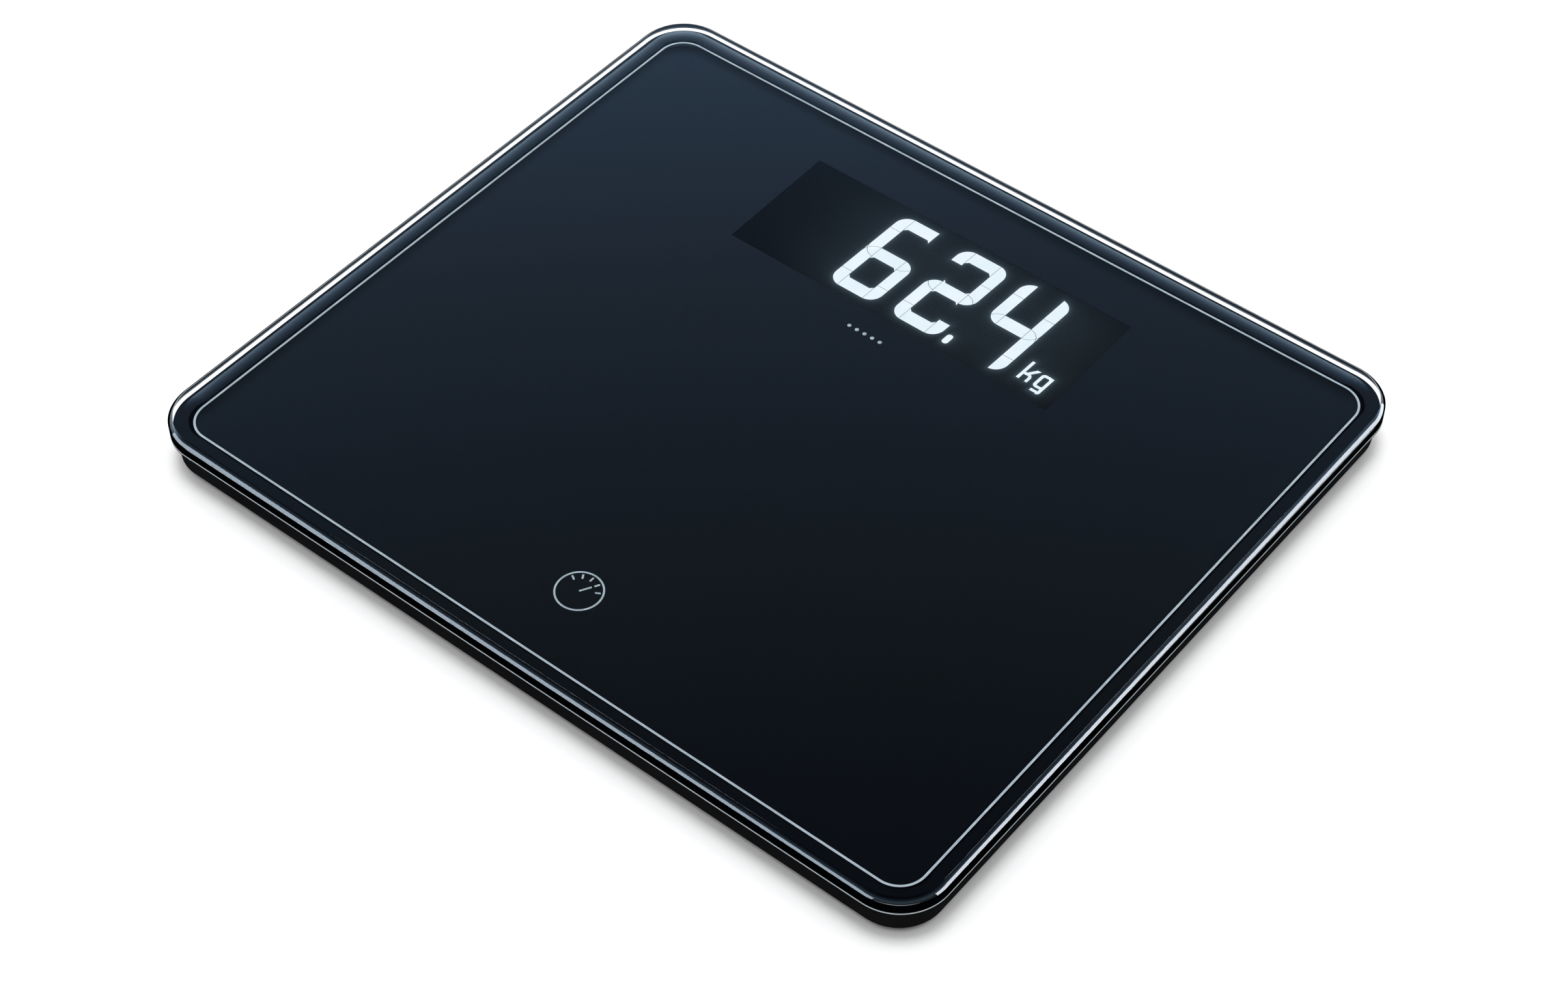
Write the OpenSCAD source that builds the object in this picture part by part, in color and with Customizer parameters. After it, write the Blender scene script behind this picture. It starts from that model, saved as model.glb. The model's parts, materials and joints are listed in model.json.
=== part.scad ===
// Digital bathroom scale: a glass platform bonded to a shallow plastic base that
// stands on four load-cell feet, with a wide lit display under the glass.
// Millimetres. The origin is on the floor below the middle, +X to the right of the
// person standing on it, +Y towards the display and +Z up.

/* [Glass] */
// Width of the glass, left to right
glass_w = 350; // [340:1:380]
// Depth of the glass, front to back
glass_d = 300; // [290:1:330]
// Thickness of the safety glass
glass_t = 8; // [6:0.5:10]
// Corner radius of the glass seen from above
glass_corner_r = 20; // [18:1:26]
// Radius of the polished bevel along the glass's upper edge
bevel_r = 5.05; // [3.5:0.05:5.5]
// Chamfer ground along the glass's lower edge
seam = 0.3; // [0.2:0.1:0.8]

/* [Printing behind the glass] */
// Thickness of the printed layers
print_t = 0.15; // [0.1:0.05:0.2]
// Distance from the glass edge to the middle of the border line
line_inset = 9.35; // [8:0.05:11]
// Width of the border line
line_w = 0.85; // [0.6:0.05:1.4]
// Width of the display window
window_w = 149; // [130:1:150]
// Depth of the display window
window_d = 55; // [52:1:58]
// Distance from the middle of the platform to the middle of the display
window_y = 89.4; // [86:0.2:92]
// How far the window stands to the right of the display's middle
window_x = 1.3; // [0:0.1:1.5]

/* [Display] */
// Height of the lit digits
digit_h = 46.6; // [40:0.2:48]
// Width of one digit
digit_w = 22; // [20:0.5:23]
// Distance from one digit to the next
digit_pitch = 29.4; // [28:0.2:30]
// Width of a digit's upright strokes
stroke_w = 5; // [4:0.25:5.5]
// Height of a digit's level strokes
stroke_h = 5.8; // [5:0.2:6.2]
// Left edge of the first digit, from the middle of the window
digits_x = -31; // [-35:0.5:-30]

/* [Base] */
// How far the base stands in from the edge of the glass
base_inset = 2.5; // [1.5:0.5:4]
// Height of the base's sides
base_h = 10.8; // [10.8:0.2:14]
// Thickness of the side walls
base_wall = 2.2; // [1.8:0.1:2.6]
// Thickness of the base's floor
floor_t = 1.8; // [1.6:0.1:2]
// Radius along the base's lower edge
base_edge_r = 0.8; // [0.6:0.1:2]
// Thickness of the stiffening ribs
rib_t = 1.4; // [1:0.1:2]

/* [Feet] */
// Distance from the glass edges to the middle of each foot
foot_inset = 42; // [40:1:46]
// Radius of a foot
foot_r = 25; // [24:0.5:25]
// Height of the base's underside above the floor
foot_proud = 2.4; // [2.2:0.1:3]
// How far a foot yields under the largest load
foot_travel = 0.4; // [0.2:0.1:0.4]
// Side of the square load cell
cell_w = 32; // [30:0.5:32]
// Thickness of the load cell's steel
cell_t = 2; // [1.6:0.1:2]

/* [Batteries and button] */
// Width of the battery cover
cover_w = 58; // [56:1:62]
// Depth of the battery cover, from its pivot to its free edge
cover_d = 33; // [32:1:35]
// Thickness of the battery cover
cover_t = 1.6; // [1.4:0.1:1.6]
// Radius of the unit button
button_r = 4.5; // [4:0.25:5]
// Travel of the unit button
button_travel = 0.5; // [0.3:0.1:0.6]

/* [Hidden] */
$fn = 64;

// Shared small sizes
cut = 0.01;
joint_gap = 0.3;

// Heights, from the floor up
z_base = foot_proud;
z_floor = z_base + floor_t;
z_rim = z_base + base_h;
z_print = z_rim + 0.05;
z_glass = z_print + print_t;
tape_t = 0.65;
z_ledge = z_print - tape_t;

// Base outline
base_w = glass_w - 2 * base_inset;
base_d = glass_d - 2 * base_inset;
base_corner_r = glass_corner_r - base_inset;
channel_w = 4;
inner_wall_t = 1.6;
rim_inset = base_wall + channel_w;
rung_pitch = 32;

// Printed border
line_w_out = glass_w - 2 * line_inset + line_w;
line_d_out = glass_d - 2 * line_inset + line_w;
line_corner_r = glass_corner_r - line_inset + line_w / 2;
print_inset = 1.6;

// Glass edge: the bevel's normal swings between these angles above the horizontal
bevel_side_tilt = 30;
bevel_top_tilt = 60;

// Foot places
foot_x = glass_w / 2 - foot_inset;
foot_y = glass_d / 2 - foot_inset;
pocket_r = foot_r + 2.2;
pocket_wall = 1.8;
roof_t = 2;
cup_floor_z = 3.4;
cup_base_z = 1.2;
pad_r = 20;
cup_lip_z = z_floor + joint_gap;
cup_top_z = z_base + 4.2;
cell_z = cup_top_z - cell_t;
gauge_t = 0.4;

// Board, switch and wires
board_w = 90;
board_d = 36;
board_t = 1.2;
board_y = 32;
board_z = 9;
board_top = board_z + board_t;
board_screw_x = 39;
board_screw_y = 13;
screw_r = 1;
pilot_r = 1.05;
screw_hole_r = 1.3;
wire_z = 8.2;
wire_r = 0.5;
wire_side_x = 98;
wire_pitch = 1.15;
socket_w = 6;
socket_d = 5;
socket_h = 1.8;
socket_y = [6, -6];
button_x = 22;
button_y = 24;
switch_w = 6;
switch_h = 3.1;
switch_z = board_z - switch_h;
plunger_r = 1.7;
plunger_out = 1;
flange_r = 6.2;
button_recess = 0.2;

// Display stack, from the print down
gasket_t = 0.25;
lcd_w = 156;
lcd_d = 61;
lcd_t = 2;
lcd_top = z_print - gasket_t;
lcd_bottom = lcd_top - lcd_t;
film_t = 0.25;
guide_t = 2.8;
guide_d = 57;
guide_w = 149;
frame_wall = 2.2;
frame_floor_t = 1.3;
frame_floor_z = lcd_bottom - 2 * film_t - guide_t - frame_floor_t;
frame_w = lcd_w + 0.4 + 2 * frame_wall;
frame_d = lcd_d + 0.4 + 2 * frame_wall;
ear_r = 4;
ear_x = frame_w / 2 + 2.4;
ear_y = 26;
segment_t = 0.05;
gap_line = 0.2;
segment_r = 5.5;
digit_slant = 0.038;
loop_h = (digit_h + stroke_h) / 2;
digits_rise = 0.4;
unit_x = 55.6;
unit_rise = 2.8;
ribbon_w = 60;

// Battery bay, for coin cells 20 by 3.2 mm
coin_d = 20;
coin_t = 3.2;
bay_y = -25;
bay_w = cover_w + 8;
bay_d = cover_d + 6.4;
bay_top = 10.6;
bay_ceiling = 9;
coin_gap = 0.3;
coin_x = coin_d / 2 + 0.6;
coin_z = z_base + cover_t + 0.6;
coin_top = coin_z + coin_t;
strip_t = 0.3;
cover_pivot_r = cover_t / 2;
cover_pivot_z = z_base + cover_t / 2;
cover_pivot_y = bay_y + cover_d / 2;
trunnion_r = 0.6;
trunnion_len = 2;
running_gap = 0.05;
scoop_r = 8;
bay_wire_x = 1.2;

// Ribs: where the rows and columns of the floor's grid run
rib_top = 10.8;
rib_rows = [-75, -50, 5];
rib_columns = [-120, -60, 60, 120];
wire_slot_w = 6;

// Colours
ink_colour = [0.02, 0.03, 0.05];
line_colour = [0.8, 0.85, 0.9];
glass_colour = [0.55, 0.7, 0.75, 0.35];
plastic_colour = [0.05, 0.05, 0.055];
rubber_colour = [0.1, 0.1, 0.1];
steel_colour = [0.65, 0.66, 0.68];
board_colour = [0.05, 0.3, 0.15];
lit_colour = [0.92, 0.97, 1];

// ---------- shared shapes ----------

// Flat rectangle with round corners, centred
module round_rect(w, d, r) {
    union() {
        square([w - 2 * r, d], center = true);
        square([w, d - 2 * r], center = true);
        for (x = [-1, 1], y = [-1, 1]) {
            translate([x * (w / 2 - r), y * (d / 2 - r)]) circle(r);
        }
    }
}

// Plate with round corners and square edges, from z = 0 up
module slab(w, d, h, r) {
    linear_extrude(height = h) round_rect(w, d, r);
}

// Flat ring between two rounded rectangles that share a middle
module rect_ring(w, d, r, band, h) {
    linear_extrude(height = h) difference() {
        round_rect(w, d, r);
        round_rect(w - 2 * band, d - 2 * band, r - band);
    }
}

// Outline of a base's or pad's edge: x runs outward from a corner's centre to r, y runs up
// to h, and low_r rounds the lower edge
module low_eased_edge(r, h, low_r) {
    difference() {
        square([r, h]);
        difference() {
            translate([r - low_r, -1]) square([low_r + 1, low_r + 1]);
            translate([r - low_r, low_r]) circle(low_r);
        }
    }
}

// Outline of the glass's edge, drawn the same way: bevelled above and chamfered below
module glass_edge(r, h) {
    bevel_w = bevel_r * (cos(bevel_side_tilt) - cos(bevel_top_tilt));
    bevel_h = bevel_r * (sin(bevel_top_tilt) - sin(bevel_side_tilt));
    difference() {
        union() {
            square([r - bevel_w, h]);
            square([r, h - bevel_h]);
            intersection() {
                square([r, h]);
                translate([r - bevel_r * cos(bevel_side_tilt), h - bevel_r * sin(bevel_top_tilt)]) {
                    circle(bevel_r, $fn = 180);
                }
            }
        }
        translate([r, 0]) rotate(45) square(seam * sqrt(2), center = true);
    }
}

// Plate with round corners from z = 0 up, whose edge has the outline given as the child
module edged_slab(w, d, h, r) {
    straight_w = w - 2 * r;
    straight_d = d - 2 * r;
    union() {
        translate([-straight_w / 2, -straight_d / 2, 0]) cube([straight_w, straight_d, h]);
        for (i = [0:3]) {
            run = i % 2 == 0 ? straight_d : straight_w;
            reach = i % 2 == 0 ? straight_w / 2 : straight_d / 2;
            rotate([0, 0, 90 * i]) {
                translate([reach, run / 2, 0]) {
                    rotate([90, 0, 0]) linear_extrude(height = run) children();
                    rotate_extrude(angle = 90) children();
                }
            }
        }
    }
}

// Round bar whose axis runs along X
module bar_x(r, length) {
    rotate([0, 90, 0]) cylinder(r = r, h = length, center = true);
}

// Pan-head screw standing on z = 0, with a cross recess and its shank below
module pan_screw(head_r, head_h, length) {
    difference() {
        union() {
            rotate_extrude() intersection() {
                square([head_r, head_h]);
                translate([0, head_h - 2.2 * head_r]) circle(2.2 * head_r);
            }
            translate([0, 0, -length]) cylinder(r = screw_r, h = length + head_h / 2);
        }
        for (turn = [0, 90]) {
            rotate([0, 0, turn]) translate([0, 0, head_h]) {
                cube([1.3 * head_r, 0.25 * head_r, head_h], center = true);
            }
        }
    }
}

// Length and direction of a step between two points of a flat route
function heading(a, b) = (b - a) / norm(b - a);

// Sideways offset at point i of a route, longer at a bend so the tube keeps its width
function side_step(route, i) =
    let (
        last = len(route) - 1,
        into = i == 0 ? heading(route[0], route[1]) : heading(route[i - 1], route[i]),
        out = i == last ? into : heading(route[i], route[i + 1]),
        side_in = [-into[1], into[0]],
        side_out = [-out[1], out[0]],
        both = side_in + side_out
    ) 2 * both / (both * both);

// Round tube at height z along a flat route of [x, y] points
module wire(route, r, z) {
    sides = 8;
    last = len(route) - 1;
    points = [
        for (i = [0:last], k = [0:sides - 1])
            let (
                turn = 360 * (k + 0.5) / sides,
                step = side_step(route, i) * r * cos(turn)
            ) [route[i][0] + step[0], route[i][1] + step[1], z + r * sin(turn)]
    ];
    walls = [
        for (i = [0:last - 1], k = [0:sides - 1])
            let (next = (k + 1) % sides)
            [i * sides + k, i * sides + next, (i + 1) * sides + next, (i + 1) * sides + k]
    ];
    front = [for (k = [0:sides - 1]) sides - 1 - k];
    back = [for (k = [0:sides - 1]) last * sides + k];
    polyhedron(points = points, faces = concat([front, back], walls));
}

// One copy of the children at each of the four corners of a rectangle
module at_corners(x, y) {
    for (sx = [-1, 1], sy = [-1, 1]) {
        translate([sx * x, sy * y, 0]) children();
    }
}

// ---------- platform ----------

module glass_platform() {
    color(glass_colour) translate([0, 0, z_glass]) {
        edged_slab(glass_w, glass_d, glass_t, glass_corner_r) {
            glass_edge(glass_corner_r, glass_t);
        }
    }
}

// Opaque ink over the glass's back, clear at the display window
module back_print() {
    color(ink_colour) translate([0, 0, z_print]) {
        linear_extrude(height = print_t) difference() {
            round_rect(glass_w - 2 * print_inset, glass_d - 2 * print_inset,
                glass_corner_r - print_inset);
            round_rect(line_w_out, line_d_out, line_corner_r);
        }
        linear_extrude(height = print_t) difference() {
            round_rect(line_w_out - 2 * line_w, line_d_out - 2 * line_w,
                line_corner_r - line_w);
            translate([window_x, window_y]) square([window_w, window_d], center = true);
            motif_outline();
        }
    }
}

// Thin pale line printed round the platform
module border_line() {
    color(line_colour) translate([0, 0, z_print]) {
        rect_ring(line_w_out, line_d_out, line_corner_r, line_w, print_t);
    }
}

// Plain dial with a pointer, and a row of dots under the window
module motif_outline() {
    dial_r = 9;
    dial_line = 0.7;
    dot_r = 0.8;
    dot_pitch = 3.6;
    translate([0, -glass_d / 2 + 40]) {
        difference() {
            circle(dial_r);
            circle(dial_r - dial_line);
        }
        for (turn = [-60:30:60]) {
            rotate([0, 0, turn]) translate([-dial_line / 2, dial_r - 3.4]) square([dial_line, 2]);
        }
        rotate([0, 0, -30]) translate([-dial_line / 2, 0]) square([dial_line, 4.6]);
    }
    for (i = [-2:2]) {
        translate([i * dot_pitch, window_y - window_d / 2 - 10.4]) circle(dot_r);
    }
}

module front_motif() {
    color(line_colour) translate([0, 0, z_print]) linear_extrude(height = print_t) {
        motif_outline();
    }
}

// Double-sided tape round the rim, between the print and the base
module adhesive_ring() {
    lip = 1.2;
    color("dimgray") translate([0, 0, z_ledge]) {
        rect_ring(base_w - 2 * lip - 0.4, base_d - 2 * lip - 0.4, base_corner_r - lip - 0.2,
            rim_inset + inner_wall_t - lip - 0.4, tape_t);
    }
}

// ---------- base ----------

// Upright walls inside the base: the ladder rim that carries the tape
module rim_ladder() {
    height = z_ledge - z_floor + cut;
    rung_w = rim_inset - base_wall + 0.4;
    columns = floor((base_w / 2 - base_corner_r) / rung_pitch);
    rows = floor((base_d / 2 - base_corner_r) / rung_pitch);
    translate([0, 0, z_floor - cut]) {
        rect_ring(base_w - 2 * rim_inset, base_d - 2 * rim_inset, base_corner_r - rim_inset,
            inner_wall_t, height);
        for (side = [-1, 1]) {
            for (i = [-columns:columns]) {
                translate([i * rung_pitch, side * (base_d / 2 - rim_inset + rung_w / 2 - 0.2),
                    height / 2]) cube([rib_t, rung_w, height], center = true);
            }
            for (i = [-rows:rows]) {
                translate([side * (base_w / 2 - rim_inset + rung_w / 2 - 0.2), i * rung_pitch,
                    height / 2]) cube([rung_w, rib_t, height], center = true);
            }
        }
    }
}

// Grid of ribs over the front of the floor
module floor_ribs() {
    height = rib_top - z_floor + cut;
    reach_x = base_w / 2 - rim_inset - cut;
    reach_y = base_d / 2 - rim_inset - cut;
    column_len = reach_y + rib_rows[2];
    difference() {
        translate([0, 0, z_floor - cut]) {
            for (y = rib_rows) {
                translate([-reach_x, y - rib_t / 2, 0]) cube([2 * reach_x, rib_t, height]);
            }
            for (x = rib_columns) {
                translate([x - rib_t / 2, -reach_y, 0]) cube([rib_t, column_len, height]);
            }
        }
        for (side = [-1, 1]) {
            translate([side * wire_side_x, 0, z_base + base_h]) {
                cube([wire_slot_w, base_d, 2 * (z_rim - wire_z + 1.2)], center = true);
            }
        }
        translate([0, bay_y + bay_d / 2 + 10, z_rim]) {
            cube([wire_slot_w, 20, 2 * (z_rim - wire_z + 1.2)], center = true);
        }
    }
}

// Round pocket that holds a foot, with a roof and the button that presses the cell
module foot_pocket() {
    roof_z = z_ledge - roof_t;
    press_r = 5;
    press_z = cup_top_z + foot_travel + joint_gap;
    difference() {
        translate([0, 0, z_floor - cut]) {
            cylinder(r = pocket_r + pocket_wall, h = z_ledge - z_floor + cut);
        }
        translate([0, 0, z_base - 1]) cylinder(r = pocket_r, h = roof_z - z_base + 1);
    }
    translate([0, 0, press_z]) cylinder(r = press_r, h = roof_z - press_z + cut);
    for (turn = [45, 135]) {
        rotate([0, 0, turn]) translate([-pocket_r - 0.5, -rib_t / 2, roof_z - 1.4]) {
            cube([2 * pocket_r + 1, rib_t, 1.4 + cut]);
        }
    }
}

// Notch in a pocket's wall where the cell's wires leave, towards the middle
module pocket_notch(side) {
    translate([-side * (foot_r + 2), 0, wire_z]) cube([12, wire_slot_w, 2.2], center = true);
}

// Post on the base's floor with a pilot hole for a screw
module screw_post(r, top) {
    difference() {
        translate([0, 0, z_floor - cut]) cylinder(r = r, h = top - z_floor + cut);
        translate([0, 0, z_floor - 0.8]) cylinder(r = pilot_r, h = top);
    }
}

// Thick-walled box that holds the coin cells above the cover's recess
module bay_block() {
    translate([-bay_w / 2, bay_y - bay_d / 2, z_floor - cut]) {
        cube([bay_w, bay_d, bay_top - z_floor + cut]);
    }
}

// Everything that is hollow in the battery bay
module bay_hollow() {
    recess_d = cover_d + cover_pivot_r + 2 * joint_gap;
    translate([0, cover_pivot_y + cover_pivot_r + joint_gap - recess_d / 2, z_base - 1]) {
        slab(cover_w + 2 * joint_gap, recess_d, cover_t + 0.2 + 1, 0.8);
    }
    for (side = [-1, 1]) {
        translate([side * coin_x, bay_y, z_base]) {
            cylinder(r = coin_d / 2 + coin_gap, h = bay_ceiling - z_base);
        }
    }
    translate([-coin_x - 12.5, bay_y - 4, z_base]) {
        cube([2 * coin_x + 25, 8, bay_ceiling - z_base]);
    }
    for (side = [-1, 1]) {
        translate([side * bay_wire_x - 0.8, bay_y + 3, bay_ceiling - 1.6]) {
            cube([1.6, bay_d / 2, 1.6]);
        }
    }
    translate([0, cover_pivot_y, cover_pivot_z]) {
        bar_x(trunnion_r + running_gap, cover_w + 2 * trunnion_len + 1);
    }
    translate([0, cover_pivot_y - cover_d, z_base - scoop_r * 0.82]) {
        rotate([0, 90, 0]) cylinder(r = scoop_r, h = 16, center = true);
    }
}

module base_tray() {
    color(plastic_colour) difference() {
        union() {
            difference() {
                translate([0, 0, z_base]) {
                    edged_slab(base_w, base_d, base_h, base_corner_r) {
                        low_eased_edge(base_corner_r, base_h, base_edge_r);
                    }
                }
                translate([0, 0, z_floor]) {
                    slab(base_w - 2 * base_wall, base_d - 2 * base_wall, base_h,
                        base_corner_r - base_wall);
                }
                tape_step();
            }
            rim_ladder();
            difference() {
                floor_ribs();
                translate([0, 0, z_floor]) {
                    at_corners(foot_x, foot_y) cylinder(r = pocket_r + 1, h = base_h);
                }
                translate([-bay_w / 2 + 1, bay_y - bay_d / 2 + 1, z_floor]) {
                    cube([bay_w - 2, bay_d - 2, base_h]);
                }
            }
            at_corners(foot_x, foot_y) foot_pocket();
            bay_block();
            translate([0, board_y, 0]) {
                at_corners(board_screw_x, board_screw_y) screw_post(3, board_z);
            }
            translate([0, window_y, 0]) {
                at_corners(ear_x, ear_y) screw_post(3, frame_floor_z);
            }
        }
        foot_holes();
        for (sx = [-1, 1], sy = [-1, 1]) {
            translate([sx * foot_x, sy * foot_y, 0]) pocket_notch(sx);
        }
        bay_hollow();
        button_hole();
        label_recess();
    }
}

// Step round the top of the side wall that centres the tape
module tape_step() {
    lip = 1.2;
    translate([0, 0, z_ledge]) slab(base_w - 2 * lip, base_d - 2 * lip, base_h, base_corner_r - lip);
}

module foot_holes() {
    translate([0, 0, z_base - 1]) {
        at_corners(foot_x, foot_y) cylinder(r = foot_r + 0.7, h = floor_t + 2);
    }
}

// Hole for the unit button, dished so that a fingertip reaches it
module button_hole() {
    translate([button_x, button_y, z_base - 1]) cylinder(r = button_r + joint_gap, h = floor_t + 2);
    translate([button_x, button_y, z_base - cut]) {
        cylinder(r1 = button_r + 3.5, r2 = button_r + 2.5, h = 0.6);
    }
}

module label_outline(margin) {
    translate([0, -96]) round_rect(84 + margin, 44 + margin, 2 + margin / 2);
}

module label_recess() {
    translate([0, 0, z_base - 1]) linear_extrude(height = 1.25) label_outline(0.8);
}

// Blank sticker in a shallow recess under the base
module rating_label() {
    color("silver") translate([0, 0, z_base + 0.13]) {
        linear_extrude(height = 0.12) label_outline(0);
    }
}

// Foam blocks that carry the middle of the glass on the ribs
module support_pads() {
    pad = 9;
    color("dimgray") translate([0, 0, rib_top]) {
        for (x = rib_columns, y = rib_rows) {
            if (abs(x) < foot_x - pocket_r || y > -foot_y + pocket_r + pad) {
                translate([x - pad / 2, y - pad / 2, 0]) cube([pad, pad, z_print - rib_top]);
            }
        }
    }
}

// ---------- display ----------

// Foam frame that keeps dust out between the panel and the print
module display_gasket() {
    color("black") translate([0, window_y, lcd_top]) {
        linear_extrude(height = gasket_t) difference() {
            square([lcd_w, lcd_d], center = true);
            translate([window_x, 0]) square([window_w + 2, window_d + 1.6], center = true);
        }
    }
}

module lcd_panel() {
    color([0.03, 0.05, 0.07]) translate([0, window_y, lcd_bottom]) difference() {
        translate([-lcd_w / 2, -lcd_d / 2, 0]) cube([lcd_w, lcd_d, lcd_t]);
        translate([-lcd_w / 2 - 1, -lcd_d / 2 - 1, -1]) cube([lcd_w + 2, 2.5, lcd_t / 2 + 1]);
    }
}

// Outlines of a digit's two stacked loops
module upper_loop() {
    translate([digit_w / 2, digit_h - loop_h / 2]) round_rect(digit_w, loop_h, segment_r);
}

module lower_loop() {
    translate([digit_w / 2, loop_h / 2]) round_rect(digit_w, loop_h, segment_r);
}

// Eight-cornered openings in the loops
module loop_window(y) {
    bevel = 1.3;
    w = digit_w - 2 * stroke_w;
    h = loop_h - 2 * stroke_h;
    translate([stroke_w, y]) polygon([
        [bevel, 0], [w - bevel, 0], [w, bevel], [w, h - bevel],
        [w - bevel, h], [bevel, h], [0, h - bevel], [0, bevel]
    ]);
}

// Part of a digit between two heights, in its left column, middle or right column
module cell(column, low, high) {
    starts = [0, stroke_w, digit_w - stroke_w];
    widths = [stroke_w, digit_w - 2 * stroke_w, stroke_w];
    translate([starts[column], low]) square([widths[column], high - low]);
}

// Hairline gaps where one segment ends and the next begins
module segment_gaps() {
    corner = 8.9;
    shoulder = 12.8;
    for (x = [stroke_w, digit_w - stroke_w]) {
        translate([x - gap_line / 2, 0]) square([gap_line, digit_h]);
    }
    for (y = [corner, digit_h - corner]) {
        translate([0, y]) square([digit_w / 2, gap_line]);
    }
    for (y = [corner, digit_h - shoulder]) {
        translate([digit_w / 2, y]) square([digit_w / 2, gap_line]);
    }
    for (x = [segment_r, digit_w - segment_r], side = [-1, 1]) {
        y = side > 0 ? digit_h - loop_h + segment_r : loop_h - segment_r;
        translate([x, y]) intersection() {
            difference() {
                circle(segment_r + gap_line);
                circle(segment_r);
            }
            translate([x < digit_w / 2 ? -digit_w : 0, side > 0 ? -digit_w : 0]) {
                square([digit_w, digit_w]);
            }
        }
    }
}

// Digits are lit cell by cell: rows are bottom, lower, middle, upper and top
module digit_six() {
    difference() {
        union() {
            lower_loop();
            intersection() {
                upper_loop();
                union() {
                    cell(0, 0, digit_h);
                    cell(1, digit_h - stroke_h - 1.3, digit_h);
                }
            }
            cell(0, segment_r, digit_h - segment_r);
        }
        loop_window(stroke_h);
        loop_window(digit_h - loop_h + stroke_h);
        segment_gaps();
    }
}

module digit_two() {
    difference() {
        union() {
            intersection() {
                upper_loop();
                union() {
                    cell(0, digit_h - 8.9, digit_h);
                    cell(1, 0, digit_h);
                    cell(2, 0, digit_h);
                }
            }
            intersection() {
                lower_loop();
                union() {
                    cell(0, 0, digit_h);
                    cell(1, 0, digit_h);
                    cell(2, 0, 8.9);
                }
            }
        }
        loop_window(stroke_h);
        loop_window(digit_h - loop_h + stroke_h);
        segment_gaps();
    }
}

module digit_four() {
    difference() {
        union() {
            intersection() {
                upper_loop();
                union() {
                    cell(0, 0, digit_h);
                    cell(2, 0, digit_h);
                }
            }
            intersection() {
                lower_loop();
                cell(2, 0, digit_h);
            }
            cell(1, digit_h - loop_h, loop_h);
            cell(2, segment_r, digit_h - segment_r);
        }
        segment_gaps();
    }
}

// The unit beside the digits, drawn with strokes of one width
module unit_letters() {
    line = 1.25;
    stem = 10.4;
    bowl_w = 5;
    bowl_h = 7.6;
    square([line, stem]);
    polygon([[line, 3.2], [4.4, 7.6], [6, 7.6], [line + 1.4, 3], [line, 3]]);
    polygon([[line, 4.3], [3.4, 4.3], [4.2, 3.9], [4.9, 2.8], [4.9, 0], [3.7, 0], [3.7, 2.6],
        [3.2, 3.1], [line, 3.1]]);
    translate([7, 0]) {
        difference() {
            translate([bowl_w / 2, bowl_h / 2]) round_rect(bowl_w, bowl_h, 1.6);
            translate([bowl_w / 2, bowl_h / 2]) {
                round_rect(bowl_w - 2 * line, bowl_h - 2 * line, 0.6);
            }
        }
        translate([bowl_w - line, -1.4]) square([line, bowl_h - 0.2 + 1.4]);
        translate([0.8, -2.4]) square([bowl_w - 1.6, line]);
        translate([bowl_w - 1.4, -1.4]) intersection() {
            circle(1.4);
            translate([0, -1.4]) square([1.4, 1.4]);
        }
    }
}

// Segments of the reading that are lit
module lcd_segments() {
    slant = [[1, digit_slant, 0, 0], [0, 1, 0, 0], [0, 0, 1, 0], [0, 0, 0, 1]];
    base_line = window_y - digit_h / 2 + digits_rise;
    color(lit_colour) translate([window_x + digits_x, base_line, lcd_top]) multmatrix(slant) {
        linear_extrude(height = segment_t) {
            digit_six();
            translate([digit_pitch, 0]) digit_two();
            translate([2 * digit_pitch, 0]) digit_four();
            translate([2 * digit_pitch - 3.6, 2.6]) round_rect(2.6, 5.2, 1.25);
            translate([unit_x - digits_x, unit_rise]) unit_letters();
        }
    }
}

// Sheets and slabs behind the panel
module display_sheet(w, z, h) {
    translate([-w / 2, window_y - guide_d / 2, z]) cube([w, guide_d, h]);
}

module diffuser_film() {
    color("white") display_sheet(guide_w, lcd_bottom - film_t, film_t);
}

module light_guide() {
    color([0.85, 0.92, 1]) display_sheet(guide_w, lcd_bottom - film_t - guide_t, guide_t);
}

module reflector_sheet() {
    color("whitesmoke") display_sheet(guide_w, frame_floor_z + frame_floor_t, film_t);
}

// Slim board at the left end of the light guide, and the lamps on it
module led_strip() {
    color("white") translate([-guide_w / 2 - 2.4, window_y - 27, frame_floor_z + frame_floor_t]) {
        cube([0.8, 54, guide_t]);
    }
}

module leds() {
    lamps = 6;
    lamp_pitch = 9;
    color("lightyellow") translate([-guide_w / 2 - 1.6, window_y, frame_floor_z + 2]) {
        for (i = [0:lamps - 1]) {
            translate([0, (i - (lamps - 1) / 2) * lamp_pitch - 1.5, 0]) cube([1.2, 3, 1.4]);
        }
    }
}

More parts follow.
